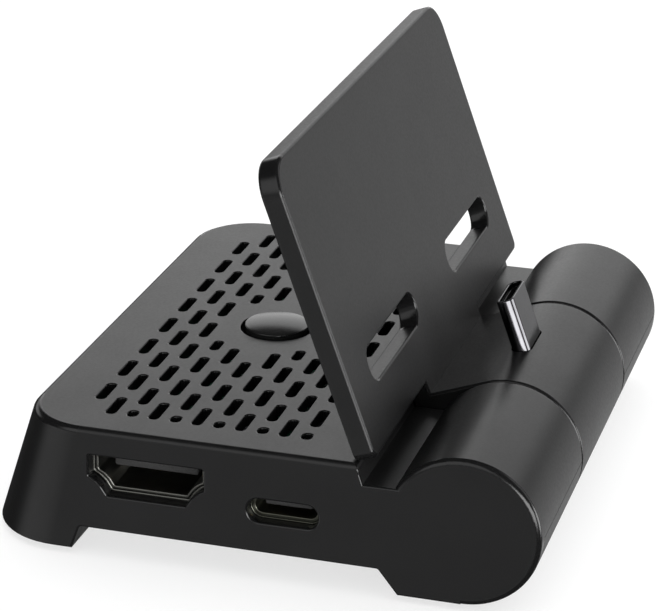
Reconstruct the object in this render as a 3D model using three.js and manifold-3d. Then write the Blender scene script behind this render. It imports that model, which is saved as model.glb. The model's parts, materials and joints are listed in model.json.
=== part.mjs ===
// A folding television dock for a handheld game console: a vented base that holds the
// electronics, and a cradle with a plug that turns on a hinge along the base's front.
// Millimetres. X runs along the hinge, Y to the back and Z up. The hinge axis is y = 0, z = 0
// while the pieces are made, and the whole dock is moved onto its footprint at the end.
import * as THREE from "three";
import { mergeVertices } from "three/addons/utils/BufferGeometryUtils.js";
import Module from "manifold-3d";

const wasm = await Module();
wasm.setup();

// ---------------------------------------------------------------- driving dimensions

// Base
const WIDTH = 80;
const BASE_TOP = 7.5;
const FOOT_LEVEL = -9.9;
const BACK_AT_TOP = 59.4;
const BACK_AT_FOOT = 65.5;
const CORNER_R_TOP = 8.8;
const CORNER_R_FOOT = 10.8;
const EDGE_R = 0.8;
const WALL = 1.6;
const SIDE_WALL = 1.8;
const FIT_GAP = 0.25;
const COVER_FRONT_END = 9.4;

// Hollow under the base that takes the folded plate, as places along Y
const RECESS = { frontAtFoot: 8.2, front: 10.8, back: 50.9, backAtFoot: 52.1, top: -6.6 };

// Groove behind the barrels, where the plate's lower corners pass
const GROOVE = { front: 2, floor: 4.82, floorEnd: 12.85, edgeY: 14.5, edgeR: 1.2 };

// Hinge
const BARREL_R = 10;
const DRUM_R = 10;
const DRUM_LENGTH = 29.2;
const SEAM = 0.2;
const DRUM_SPACE = { back: 10.8, knee: -2.4 };
const SHAFT_R = 2;
const TUBE_R = 3;
const RUNNING_FIT = 0.06;
const BRACKET = { length: 13, height: 7.6, z: 0.8, thick: 1.2, screwY: 4.9, screwZ: 1.6 };

// Cradle, in its own upright frame: y across the plate's thickness, z up the plate
const RECLINE = THREE.MathUtils.degToRad(20);
const PLATE_FRONT = 7.85;
const PLATE_THICK = 2.85;
const PLATE_WIDTH = 78.6;
const PLATE_LOW = 11.6;
const PLATE_HIGH = 51.1;
const PLATE_EDGE = 0.45;
const PLATE_CORNER_TOP = 4.2;
const PLATE_CORNER_LOW = 1.2;
const WINDOW = { x: 20, z: 20.8, length: 22.4, height: 4.5, r: 2.1 };
const DRUM_BORE_R = 8.2;
const DRUM_BORE_HALF = 11;
const LID_ANGLE = THREE.MathUtils.degToRad(-50);
const LID_DEPTH = 7.58;
const LID_TOP = -4.2;
const LID_SCREW_X = 12.6;

// Plug, and the pocket in the base that it swings through
const PLUG = { y: -2.3, width: 8.3, thick: 2.5, tip: 17, foot: 5.4, skin: 0.3 };
const POCKET = { r: 18, half: PLUG.width / 2 + 0.6, top: 4.3 };

// Board and sockets
const BOARD = { half: 37, front: 17, back: 54, top: -2.1, thick: 1.2, corner: 3.5, solder: 0.3 };
const BOARD_FRONT_NOTCH = { half: 7.2, depth: 3.4 };
const BOARD_PORT_NOTCH = { half: 5, depth: 7 };
const HDMI = { y: 41.6, half: 7.8, top: 3.85, knee: 0.9, low: -1.65, lowHalf: 5.3 };
const USB_C = { y: 23.3, z: -0.75, length: 9.4, height: 3.3 };
const USB_A = { y: 34, z: 1.05, length: 13.7, height: 6.3 };
const SOCKET_FACE = WIDTH / 2 - 1.4;
const SOCKET_FIT = 0.3;
const SOCKET_SKIN = 0.35;

// Mode button, and the switch under it
const BUTTON = { y: 36.65, hole: 5.1, cap: 4.5, proud: 0.95, flange: 6.2, flangeZ: 4.2, foot: 3.1, stemR: 1.5 };
const SWITCH = { half: 3, height: 3.5, boreR: 1.76, boreFloor: 1.1, plungerR: 1.7 };

// Vent slots: rows of staggered slots that leave a clear circle round the button
const VENT = { length: 5.2, width: 1.3, pitchX: 8, pitchY: 2.94, rows: 11, farRow: 51.35 };
const VENT_END = { x: 34.6, dot: 1.8, shortest: 2 };
const BUTTON_CLEAR = { r: 9.4, row: 5, rows: 2 };

// Screws, as [x, y], and the bosses round them
const COVER_SCREWS = [[-32, 1], [32, 1], [-30, 56], [30, 56]];
const BOARD_SCREWS = [[-14, 51], [20, 51], [16, 23]];
const BOSS = { r: 2.3, bore: 0.95, coverR: 3.4, headR: 2.1, headSeat: 2.6, hole: 1.2, barrelFoot: -3.6 };

// Foot pads
const PAD_PROUD = 0.9;
const PAD_POCKET = 0.4;
const PAD_CORNER = 1.5;
const PADS = [
  { name: "front_foot_pad_left", x: -22.5, y: 1.9, length: 12, depth: 8.2 },
  { name: "front_foot_pad_right", x: 22.5, y: 1.9, length: 12, depth: 8.2 },
  { name: "rear_foot_pad_left", x: -14.5, y: 57.6, length: 20, depth: 8 },
  { name: "rear_foot_pad_right", x: 14.5, y: 57.6, length: 20, depth: 8 },
];

// Derived dimensions
const HALF = WIDTH / 2;
const ROOF = BASE_TOP - WALL;
const FLOOR_TOP = RECESS.top + WALL;
const DRUM_HALF = DRUM_LENGTH / 2;
const DRUM_GAP_HALF = DRUM_HALF + SEAM;
const PLATE_BACK = PLATE_FRONT + PLATE_THICK;
const BOARD_BOTTOM = BOARD.top - BOARD.thick;
const BRACKET_FACE = DRUM_GAP_HALF + WALL + 0.3;
const BRACKET_BACK = BRACKET_FACE + BRACKET.thick;
const BEYOND = 20;
const QUARTER = Math.PI / 2;

// ---------------------------------------------------------------- solids and shapes

function solid(geometry) {
  const bare = geometry.clone();
  bare.deleteAttribute("normal");
  bare.deleteAttribute("uv");
  const merged = mergeVertices(bare, 1e-4);
  return new wasm.Manifold(new wasm.Mesh({
    numProp: 3,
    vertProperties: new Float32Array(merged.attributes.position.array),
    triVerts: new Uint32Array(merged.index.array),
  }));
}

function geometryOf(manifold) {
  const mesh = manifold.getMesh();
  const geometry = new THREE.BufferGeometry();
  geometry.setAttribute("position", new THREE.BufferAttribute(mesh.vertProperties, 3));
  geometry.setIndex(new THREE.BufferAttribute(mesh.triVerts, 1));
  geometry.computeVertexNormals();
  return geometry;
}

function joined(solids) {
  return solids.reduce((all, next) => all.add(next));
}

function shapeOf(points) {
  return new THREE.Shape(points.map(([a, b]) => new THREE.Vector2(a, b)));
}

// Solid of a y-z outline, from x0 to x1
function alongX(points, x0, x1) {
  const geometry = new THREE.ExtrudeGeometry(shapeOf(points), { depth: x1 - x0, bevelEnabled: false });
  const turn = new THREE.Matrix4().makeBasis(
    new THREE.Vector3(0, 1, 0), new THREE.Vector3(0, 0, 1), new THREE.Vector3(1, 0, 0));
  geometry.applyMatrix4(turn);
  geometry.translate(x0, 0, 0);
  return solid(geometry);
}

// Solid of one or more x-y outlines, from z0 to z1
function alongZ(outlines, z0, z1) {
  const geometry = new THREE.ExtrudeGeometry(outlines.map(shapeOf), { depth: z1 - z0, bevelEnabled: false });
  geometry.translate(0, 0, z0);
  return solid(geometry);
}

function boxGeometry(x0, x1, y0, y1, z0, z1) {
  const geometry = new THREE.BoxGeometry(x1 - x0, y1 - y0, z1 - z0);
  return geometry.translate((x0 + x1) / 2, (y0 + y1) / 2, (z0 + z1) / 2);
}

function box(...ends) {
  return solid(boxGeometry(...ends));
}

// Round solid on an axis along Z, from [radius, z] pairs that start and end on the axis
function turned(profile, x, y, sides) {
  const geometry = new THREE.LatheGeometry(profile.map(([r, z]) => new THREE.Vector2(r, z)), sides);
  geometry.rotateX(Math.PI / 2);
  geometry.translate(x, y, 0);
  return geometry;
}

function postGeometry(radius, z0, z1, x, y, sides) {
  return turned([[0, z0], [radius, z0], [radius, z1], [0, z1]], x, y, sides);
}

function postZ(radius, z0, z1, x, y, sides = 12) {
  return solid(postGeometry(radius, z0, z1, x, y, sides));
}

// Round solid on an axis along X, from [radius, x] pairs that start and end on the axis
function turnedX(profile, sides, y = 0, z = 0) {
  const geometry = new THREE.LatheGeometry(profile.map(([r, x]) => new THREE.Vector2(r, x)), sides);
  geometry.rotateZ(-Math.PI / 2);
  geometry.translate(0, y, z);
  return solid(geometry);
}

function rodX(radius, x0, x1, sides = 20, y = 0, z = 0) {
  return turnedX([[0, x0], [radius, x0], [radius, x1], [0, x1]], sides, y, z);
}

function arc(centreA, centreB, radius, from, to, steps) {
  const points = [];
  for (let i = 0; i <= steps; i += 1) {
    const angle = from + ((to - from) * i) / steps;
    points.push([centreA + radius * Math.cos(angle), centreB + radius * Math.sin(angle)]);
  }
  return points;
}

function roundedRect(centreA, centreB, length, height, radius, steps = 3) {
  const a = length / 2 - radius;
  const b = height / 2 - radius;
  return [
    ...arc(centreA + a, centreB - b, radius, -QUARTER, 0, steps),
    ...arc(centreA + a, centreB + b, radius, 0, QUARTER, steps),
    ...arc(centreA - a, centreB + b, radius, QUARTER, 2 * QUARTER, steps),
    ...arc(centreA - a, centreB - b, radius, 2 * QUARTER, 3 * QUARTER, steps),
  ];
}

// Outline of a slot with a half-round at each end
function slotOutline(from, to, y, width) {
  const r = width / 2;
  return [
    ...arc(to - r, y, r, -QUARTER, QUARTER, 3),
    ...arc(from + r, y, r, QUARTER, 3 * QUARTER, 3),
  ];
}

// Solid through a stack of outlines that have the same number of points
function loft(layers) {
  const count = layers[0].points.length;
  const position = [];
  const index = [];
  for (const { z, points } of layers) {
    for (const [x, y] of points) position.push(x, y, z);
  }
  for (let layer = 0; layer + 1 < layers.length; layer += 1) {
    for (let i = 0; i < count; i += 1) {
      const next = (i + 1) % count;
      const low = layer * count;
      const high = low + count;
      index.push(low + i, low + next, high + next, low + i, high + next, high + i);
    }
  }
  const last = (layers.length - 1) * count;
  const outline = layers[0].points.map(([x, y]) => new THREE.Vector2(x, y));
  for (const [a, b, c] of THREE.ShapeUtils.triangulateShape(outline, [])) {
    index.push(c, b, a, last + a, last + b, last + c);
  }
  const geometry = new THREE.BufferGeometry();
  geometry.setAttribute("position", new THREE.Float32BufferAttribute(position, 3));
  geometry.setIndex(index);
  return solid(geometry);
}

// ---------------------------------------------------------------- materials

function material(color, roughness, metalness = 0) {
  return new THREE.MeshStandardMaterial({ color, roughness, metalness });
}

const looks = {
  shell: material(0x1b1b1c, 0.55),
  cradle: material(0x1d1d1e, 0.55),
  button: material(0x18181a, 0.28),
  rubber: material(0x101010, 0.9),
  plug: material(0xd9d9dd, 0.14, 1),
  socket: material(0x9e9b94, 0.3, 1),
  steel: material(0x9a9ca0, 0.35, 1),
  screw: material(0x3a3b3e, 0.4, 1),
  insulator: material(0x141415, 0.6),
  board: material(0x12482f, 0.5),
  chip: material(0x202124, 0.6),
  can: material(0xb9bcc2, 0.3, 1),
  ferrite: material(0x4b4c50, 0.8),
  housing: material(0xe8e4d8, 0.5),
  lead: material(0x1f2023, 0.7),
};

// ---------------------------------------------------------------- outer form of the base

// Outline of the base at one height: square at the front, round at the two back corners
function baseOutline(z, inset) {
  const share = (z - FOOT_LEVEL) / (BASE_TOP - FOOT_LEVEL);
  const back = THREE.MathUtils.lerp(BACK_AT_FOOT, BACK_AT_TOP, share) - inset;
  const radius = THREE.MathUtils.lerp(CORNER_R_FOOT, CORNER_R_TOP, share) - inset;
  const half = HALF - inset;
  const steps = 6;
  return {
    z,
    points: [
      [half, 0],
      ...arc(half - radius, back - radius, radius, 0, QUARTER, steps),
      ...arc(radius - half, back - radius, radius, QUARTER, 2 * QUARTER, steps),
      [-half, 0],
    ],
  };
}

function baseBlock() {
  const layers = [baseOutline(FOOT_LEVEL, 0), baseOutline(BASE_TOP - EDGE_R, 0)];
  const steps = 3;
  for (let i = 1; i <= steps; i += 1) {
    const angle = (i / steps) * QUARTER;
    const z = BASE_TOP - EDGE_R + EDGE_R * Math.sin(angle);
    layers.push(baseOutline(z, EDGE_R * (1 - Math.cos(angle))));
  }
  return loft(layers);
}

// The groove between the base's top and the barrels
function groove(grow) {
  const edgeY = GROOVE.edgeY + grow;
  return alongX([
    [GROOVE.front, GROOVE.floor - grow],
    [GROOVE.floorEnd + grow, GROOVE.floor - grow],
    ...arc(edgeY, BASE_TOP - GROOVE.edgeR, GROOVE.edgeR, 2 * QUARTER, QUARTER, 4),
    [edgeY, BEYOND],
    [GROOVE.front, BEYOND],
  ], -HALF - 1, HALF + 1);
}

// The hollow under the base
function recess(grow) {
  const below = FOOT_LEVEL - 1;
  return alongX([
    [RECESS.frontAtFoot - 0.8 - grow, below],
    [RECESS.frontAtFoot - grow, FOOT_LEVEL],
    [RECESS.front - grow, RECESS.top + grow],
    [RECESS.back + grow, RECESS.top + grow],
    [RECESS.backAtFoot + grow, FOOT_LEVEL],
    [RECESS.backAtFoot + 0.4 + grow, below],
  ], -HALF - 1, HALF + 1);
}

// Barrel at one end of the hinge, flattened where it meets the floor
function barrel(side) {
  const inner = DRUM_GAP_HALF;
  const steps = 3;
  const profile = [[0, inner], [BARREL_R, inner]];
  for (let i = 0; i <= steps; i += 1) {
    const angle = (i / steps) * QUARTER;
    const radius = BARREL_R - EDGE_R + EDGE_R * Math.cos(angle);
    profile.push([radius, HALF - EDGE_R + EDGE_R * Math.sin(angle)]);
  }
  profile.push([0, HALF]);
  const placed = side > 0 ? profile : profile.map(([r, x]) => [r, -x]).reverse();
  return turnedX(placed, 56).subtract(box(-HALF - 1, HALF + 1, -BEYOND, BEYOND, -BEYOND, FOOT_LEVEL));
}

// Space for the turning middle of the hinge, between the barrels
function drumSpace(half, grow) {
  return alongX([
    [-BEYOND, -BEYOND],
    [DRUM_SPACE.back + grow, -BEYOND],
    [DRUM_SPACE.back + grow, DRUM_SPACE.knee],
    [GROOVE.edgeY + grow, BASE_TOP],
    [GROOVE.edgeY + grow, BEYOND],
    [-BEYOND, BEYOND],
  ], -half, half);
}

// Space that the plug swings through, and is kept in when the cradle is folded under
function plugSpace(grow) {
  const radius = POCKET.r + grow;
  const top = POCKET.top + grow;
  return alongX([
    [0, top],
    [0, -radius],
    ...arc(0, 0, radius, -QUARTER, Math.asin(top / radius), 18).slice(1),
  ], -POCKET.half - grow, POCKET.half + grow);
}

function outerForm() {
  const block = baseBlock().subtract(groove(0));
  const form = joined([block, barrel(-1), barrel(1)]).subtract(recess(0));
  return form.subtract(drumSpace(DRUM_GAP_HALF, 0).add(plugSpace(0)));
}

// Hollow inside the two shells
function innerSpace() {
  const room = loft([baseOutline(FOOT_LEVEL + WALL, SIDE_WALL), baseOutline(ROOF, SIDE_WALL)])
    .subtract(groove(WALL))
    .subtract(recess(WALL));
  const bores = [-1, 1].map((side) => {
    const near = DRUM_GAP_HALF + WALL;
    const far = HALF - SIDE_WALL;
    const span = side > 0 ? [near, far] : [-far, -near];
    return rodX(BARREL_R - WALL, span[0], span[1], 36)
      .subtract(box(-HALF, HALF, -BEYOND, BEYOND, -BEYOND, FOOT_LEVEL + WALL));
  });
  return joined([room, ...bores])
    .subtract(drumSpace(DRUM_GAP_HALF + WALL, WALL))
    .subtract(plugSpace(WALL));
}

// What belongs to the bottom cover: the floor, and the lower half of each barrel
function coverZone(grow) {
  const inset = SIDE_WALL + FIT_GAP - grow;
  const floor = loft([baseOutline(FOOT_LEVEL - 2, inset), baseOutline(FLOOR_TOP + grow, inset)]);
  const frontEnd = COVER_FRONT_END + grow;
  const front = box(-HALF + inset, HALF - inset, -BARREL_R - 2, frontEnd, FOOT_LEVEL - 2, grow);
  return floor.add(front);
}

// ---------------------------------------------------------------- base: cuts and bosses

// Half of the width that a row leaves free round the button
function clearHalfWidth(row, y) {
  const nearButton = Math.abs(row - BUTTON_CLEAR.row) <= BUTTON_CLEAR.rows;
  return nearButton ? Math.sqrt(BUTTON_CLEAR.r ** 2 - (y - BUTTON.y) ** 2) : 0;
}

// Slots of one row to the right of the middle, as [from, to] along X
function ventSpans(row, y) {
  const odd = row % 2 === 1;
  const clear = clearHalfWidth(row, y);
  const spans = [];
  for (let x = odd ? VENT.pitchX : VENT.pitchX / 2; x < VENT_END.x; x += VENT.pitchX) {
    const from = Math.max(x - VENT.length / 2, clear);
    const to = x + VENT.length / 2;
    if (to - from > VENT_END.shortest && to <= VENT_END.x) spans.push([from, to]);
  }
  if (!odd && row > 0) spans.push([VENT_END.x - VENT_END.dot, VENT_END.x]);
  return spans;
}

function ventSlots() {
  const slots = [];
  for (let row = 0; row < VENT.rows; row += 1) {
    const y = VENT.farRow - row * VENT.pitchY;
    const right = ventSpans(row, y);
    const left = right.map(([from, to]) => [-to, -from]);
    const hasMiddle = row % 2 === 1 && clearHalfWidth(row, y) === 0;
    const middle = hasMiddle ? [[-VENT.length / 2, VENT.length / 2]] : [];
    for (const [from, to] of [...right, ...left, ...middle]) {
      slots.push(slotOutline(from, to, y, VENT.width));
    }
  }
  return alongZ(slots, ROOF - 1, BASE_TOP + 1);
}

function hdmiOutline(inset) {
  const { y, half, top, knee, low, lowHalf } = HDMI;
  return [
    [y + lowHalf - inset * 0.5, low + inset],
    [y + half - inset, knee + inset * 0.4],
    [y + half - inset, top - inset],
    [y - half + inset, top - inset],
    [y - half + inset, knee + inset * 0.4],
    [y - lowHalf + inset * 0.5, low + inset],
  ];
}

function usbCOutline(inset) {
  const height = USB_C.height - 2 * inset;
  return roundedRect(USB_C.y, USB_C.z, USB_C.length - 2 * inset, height, height / 2 - 0.15, 4);
}

function usbAOutline(inset) {
  return roundedRect(USB_A.y, USB_A.z, USB_A.length - 2 * inset, USB_A.height - 2 * inset, 0.5, 2);
}

function portCuts() {
  const reach = SIDE_WALL + 1;
  return joined([
    alongX(hdmiOutline(0), -HALF - 1, -HALF + reach),
    alongX(usbCOutline(0), -HALF - 1, -HALF + reach),
    alongX(usbAOutline(0), HALF - reach, HALF + 1),
  ]);
}

function isUnderBarrel(y) {
  return y < BARREL_R;
}

function topBosses() {
  const posts = COVER_SCREWS.map(([x, y]) => {
    const top = isUnderBarrel(y) ? BARREL_R - WALL : ROOF;
    const foot = isUnderBarrel(y) ? BOSS.barrelFoot : FLOOR_TOP + FIT_GAP;
    return postZ(BOSS.r, foot, top + 0.4, x, y);
  });
  const boardPosts = BOARD_SCREWS.map(([x, y]) => postZ(BOSS.r, BOARD.top + 0.3, ROOF + 0.4, x, y));
  return joined([...posts, ...boardPosts]);
}

function topBossBores() {
  const cover = COVER_SCREWS.map(([x, y]) => postZ(BOSS.bore, -8, isUnderBarrel(y) ? 3 : 2, x, y));
  const boards = BOARD_SCREWS.map(([x, y]) => postZ(BOSS.bore, -3, 3, x, y));
  return joined([...cover, ...boards]);
}

// Round openings through the barrels' inner walls: the shaft on the left, the lead's tube right
function hingeHoles() {
  const wallEnd = DRUM_GAP_HALF + WALL + 0.5;
  return rodX(SHAFT_R + RUNNING_FIT, -wallEnd, -DRUM_HALF + 1)
    .add(rodX(TUBE_R + RUNNING_FIT, DRUM_HALF - 1, wallEnd));
}

function onSide(side, near, far) {
  return side > 0 ? [near, far] : [-far, -near];
}

function bracketBores() {
  const bores = [];
  for (const side of [-1, 1]) {
    const [from, to] = onSide(side, DRUM_GAP_HALF + 0.4, DRUM_GAP_HALF + WALL + 1);
    for (const y of [-BRACKET.screwY, BRACKET.screwY]) {
      bores.push(rodX(0.75, from, to, 12, y, BRACKET.screwZ));
    }
  }
  return joined(bores);
}

const skin = outerForm().subtract(innerSpace());

function topShell() {
  return skin
    .add(topBosses())
    .subtract(coverZone(FIT_GAP))
    .subtract(joined([portCuts(), ventSlots(), topBossBores(), hingeHoles(), bracketBores()]))
    .subtract(postZ(BUTTON.hole, ROOF - 1, BASE_TOP + 1, 0, BUTTON.y, 36));
}

function bottomCover() {
  const bosses = COVER_SCREWS.map(([x, y]) => {
    const top = isUnderBarrel(y) ? BOSS.barrelFoot - 0.3 : FLOOR_TOP;
    return postZ(BOSS.coverR, FOOT_LEVEL, top, x, y);
  });
  const seatTop = FOOT_LEVEL + BOSS.headSeat;
  const seats = COVER_SCREWS.map(([x, y]) => postZ(BOSS.headR, FOOT_LEVEL - 1, seatTop, x, y));
  const holes = COVER_SCREWS.map(([x, y]) => postZ(BOSS.hole, FOOT_LEVEL, 0, x, y));
  const pockets = PADS.map(({ x, y, length, depth }) => {
    const outline = roundedRect(x, y, length + 0.4, depth + 0.4, PAD_CORNER + 0.2);
    return alongZ([outline], FOOT_LEVEL - 1, FOOT_LEVEL + PAD_POCKET);
  });
  return skin
    .intersect(coverZone(0))
    .add(joined(bosses))
    .subtract(joined([...seats, ...holes, ...pockets, hingeHoles(), bracketBores()]));
}

// ---------------------------------------------------------------- base: small pieces

function screw(x, y, headTop, headDepth, length, headR, shankR) {
  return turned([
    [0, headTop],
    [headR * 0.8, headTop],
    [headR, headTop + headDepth * 0.35],
    [headR, headTop + headDepth],
    [shankR, headTop + headDepth],
    [shankR, headTop + length - 0.5],
    [shankR * 0.4, headTop + length],
    [0, headTop + length],
  ], x, y, 10);
}

function screwX(side, y, z, face) {
  const geometry = screw(0, 0, 0, 0.8, 2.9, 1.3, 0.6);
  geometry.rotateY(-side * QUARTER);
  geometry.translate(side * face, y, z);
  return geometry;
}

// The board steps back round the plug's pocket, and round the USB-C socket
function mainBoard() {
  const { half, front, back, corner } = BOARD;
  const notch = BOARD_FRONT_NOTCH;
  const port = BOARD_PORT_NOTCH;
  const outline = [
    [-half, front],
    [-notch.half, front],
    [-notch.half, front + notch.depth],
    [notch.half, front + notch.depth],
    [notch.half, front],
    [half, front],
    [half, back - corner],
    [half - corner, back],
    [corner - half, back],
    [-half, back - corner],
    [-half, USB_C.y + port.half],
    [port.depth - half, USB_C.y + port.half],
    [port.depth - half, USB_C.y - port.half],
    [-half, USB_C.y - port.half],
  ];
  const sheet = alongZ([outline], BOARD_BOTTOM, BOARD.top);
  const holes = BOARD_SCREWS.map(([x, y]) => postZ(BOSS.hole, BOARD_BOTTOM - 1, BOARD.top + 1, x, y));
  const bossCuts = COVER_SCREWS.filter(([, y]) => !isUnderBarrel(y))
    .map(([x, y]) => postZ(BOSS.r + 0.4, BOARD_BOTTOM - 1, BOARD.top + 1, x, y));
  return sheet.subtract(joined([...holes, ...bossCuts]));
}

// A thin metal shell round a socket's mouth, closed at its back
function socketShell(outline, side, depth) {
  const back = SOCKET_FACE - depth;
  const span = onSide(side, back, SOCKET_FACE);
  const mouth = onSide(side, back + SOCKET_SKIN, SOCKET_FACE + 1);
  return alongX(outline(SOCKET_FIT), ...span)
    .subtract(alongX(outline(SOCKET_FIT + SOCKET_SKIN), ...mouth));
}

function tongue(side, y, z, length, height, depth, socketDepth) {
  const root = SOCKET_FACE - socketDepth + SOCKET_SKIN + 0.2;
  const outline = roundedRect(y, z, length, height, Math.min(height / 2 - 0.02, 0.3), 2);
  return alongX(outline, ...onSide(side, root, root + depth));
}

function modeButton() {
  const top = BASE_TOP + BUTTON.proud;
  const { cap, foot, stemR, flange, flangeZ } = BUTTON;
  return turned([
    [0, foot],
    [stemR, foot],
    [stemR, flangeZ],
    [flange, flangeZ],
    [flange, ROOF - 0.3],
    [cap, ROOF - 0.3],
    [cap, top - 0.65],
    [cap - 0.25, top - 0.4],
    [cap - 1.5, top - 0.17],
    [cap - 3, top - 0.04],
    [0, top],
  ], 0, BUTTON.y, 32);
}

function switchBody() {
  const foot = BOARD.top + BOARD.solder;
  const { half, height, boreR, boreFloor } = SWITCH;
  return box(-half, half, BUTTON.y - half, BUTTON.y + half, foot, foot + height)
    .subtract(postZ(boreR, foot + boreFloor, foot + height + 1, 0, BUTTON.y, 16));
}

function blockOnBoard(x, y, length, depth, height) {
  const foot = BOARD.top + BOARD.solder;
  return box(x - length / 2, x + length / 2, y - depth / 2, y + depth / 2, foot, foot + height);
}

function canOnBoard(x, y, radius, height) {
  const foot = BOARD.top + BOARD.solder;
  const top = foot + height;
  return turned([[0, foot], [radius, foot], [radius, top - 0.3], [radius - 0.3, top], [0, top]], x, y, 16);
}

// Lead from the cradle, through the hinge's hollow tube and back to the board
function hingeLead() {
  const route = new THREE.CatmullRomCurve3([
    new THREE.Vector3(9.6, 0, 0),
    new THREE.Vector3(15, 0, 0),
    new THREE.Vector3(21, 0, 0),
    new THREE.Vector3(25.4, 3, -0.3),
    new THREE.Vector3(26.4, 9, -0.4),
    new THREE.Vector3(26.4, 15.2, -0.2),
    new THREE.Vector3(26.4, 19.2, 0),
  ], false, "centripetal");
  const section = shapeOf(arc(0, 0, 1.1, 0, 3.5 * QUARTER, 7));
  return new THREE.ExtrudeGeometry(section, { steps: 16, extrudePath: route, bevelEnabled: false });
}

// ---------------------------------------------------------------- cradle

function plate() {
  const high = PLATE_HIGH - PLATE_CORNER_TOP;
  const low = PLATE_LOW + PLATE_CORNER_LOW;
  const highX = PLATE_WIDTH / 2 - PLATE_CORNER_TOP;
  const lowX = PLATE_WIDTH / 2 - PLATE_CORNER_LOW;
  const outline = shapeOf([
    ...arc(lowX, low, PLATE_CORNER_LOW, -QUARTER, 0, 3),
    ...arc(highX, high, PLATE_CORNER_TOP, 0, QUARTER, 5),
    ...arc(-highX, high, PLATE_CORNER_TOP, QUARTER, 2 * QUARTER, 5),
    ...arc(-lowX, low, PLATE_CORNER_LOW, 2 * QUARTER, 3 * QUARTER, 3),
  ]);
  outline.holes = [-1, 1].map((side) => {
    const { x, z, length, height, r } = WINDOW;
    return shapeOf(roundedRect(side * x, z, length, height, r).reverse());
  });
  const geometry = new THREE.ExtrudeGeometry(outline, {
    depth: PLATE_THICK - 2 * PLATE_EDGE,
    bevelThickness: PLATE_EDGE,
    bevelSize: PLATE_EDGE,
    bevelOffset: -PLATE_EDGE,
    bevelSegments: 3,
  });
  geometry.rotateX(QUARTER);
  geometry.translate(0, PLATE_BACK - PLATE_EDGE, 0);
  return solid(geometry);
}

// The web that carries the plate on the drum, with the flat that the console stands on
function web() {
  const inPlate = PLATE_LOW + 1.5;
  return alongX([
    [0, 0],
    [8.95, LID_TOP],
    [10.15, -1.2],
    [PLATE_BACK, 3.2],
    [PLATE_BACK, inPlate],
    [PLATE_FRONT, inPlate],
    [PLATE_FRONT, DRUM_R],
    [0, DRUM_R],
  ], -DRUM_HALF, DRUM_HALF);
}

// The drum's lid is the slice of the drum beyond a chord, on the side that faces the base
function lidHalfSpace(depth) {
  const slab = boxGeometry(-DRUM_HALF - 1, DRUM_HALF + 1, depth, BEYOND, -BEYOND, BEYOND);
  return solid(slab.rotateX(LID_ANGLE));
}

// Round solid pointing out through the lid, at one end of the drum
function lidPost(radius, from, to, x) {
  return solid(postGeometry(radius, from, to, x, 0, 12).rotateX(LID_ANGLE - QUARTER));
}

function plugOutline(inset) {
  const thick = PLUG.thick - 2 * inset;
  return roundedRect(0, PLUG.y, PLUG.width - 2 * inset, thick, thick / 2 - 0.05, 4);
}

function cradle() {
  const drum = rodX(DRUM_R, -DRUM_HALF, DRUM_HALF, 56);
  const lidCut = lidHalfSpace(LID_DEPTH).subtract(box(-BEYOND, BEYOND, 0, BEYOND, LID_TOP, BEYOND));
  const bore = rodX(DRUM_BORE_R, -DRUM_BORE_HALF, DRUM_BORE_HALF, 36);
  const shaftHole = rodX(SHAFT_R + RUNNING_FIT, -DRUM_HALF - 1, -DRUM_BORE_HALF + 1);
  const tubeHole = rodX(TUBE_R + RUNNING_FIT, DRUM_BORE_HALF - 1, DRUM_HALF + 1);
  const screwBores = [-1, 1].map((side) => lidPost(0.75, 4, LID_DEPTH + 1, side * LID_SCREW_X));
  const plugHole = alongZ([plugOutline(-0.15)], DRUM_BORE_R - 3, DRUM_R + 1);
  return joined([drum, web()])
    .subtract(joined([lidCut, bore, shaftHole, tubeHole, plugHole, ...screwBores]))
    .add(plate());
}

function drumLid() {
  const inside = lidHalfSpace(LID_DEPTH + FIT_GAP);
  const slice = rodX(DRUM_R, -DRUM_HALF, DRUM_HALF, 56).intersect(inside)
    .subtract(box(-BEYOND, BEYOND, 0, BEYOND, LID_TOP - FIT_GAP, BEYOND));
  const holes = [-1, 1].map((side) => lidPost(0.95, LID_DEPTH - 1, DRUM_R + 1, side * LID_SCREW_X));
  const seats = [-1, 1].map((side) => lidPost(1.5, DRUM_R - 1.1, DRUM_R + 1, side * LID_SCREW_X));
  return slice.subtract(joined([...holes, ...seats]));
}

// ---------------------------------------------------------------- assembly

const dock = new THREE.Group();
const turning = new THREE.Group();
turning.rotation.x = -RECLINE;
dock.add(turning);

function addPiece(group, name, shape, look) {
  const geometry = shape.isBufferGeometry ? shape : geometryOf(shape);
  const mesh = new THREE.Mesh(geometry, look.clone());
  mesh.name = name;
  group.add(mesh);
}

addPiece(dock, "top_shell", topShell(), looks.shell);
addPiece(dock, "bottom_cover", bottomCover(), looks.shell);
for (const { name, x, y, length, depth } of PADS) {
  const outline = roundedRect(x, y, length, depth, PAD_CORNER);
  const pad = alongZ([outline], FOOT_LEVEL - PAD_PROUD, FOOT_LEVEL + PAD_POCKET - 0.1);
  addPiece(dock, name, pad, looks.rubber);
}
COVER_SCREWS.forEach(([x, y], i) => {
  const geometry = screw(x, y, FOOT_LEVEL + 0.9, 1.4, 8.4, 1.8, 0.85);
  addPiece(dock, `cover_screw_${i + 1}`, geometry, looks.screw);
});

addPiece(dock, "main_board", mainBoard(), looks.board);
BOARD_SCREWS.forEach(([x, y], i) => {
  const geometry = screw(x, y, BOARD_BOTTOM - 1.1, 0.8, 5.6, 1.8, 0.85);
  addPiece(dock, `board_screw_${i + 1}`, geometry, looks.screw);
});

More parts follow.
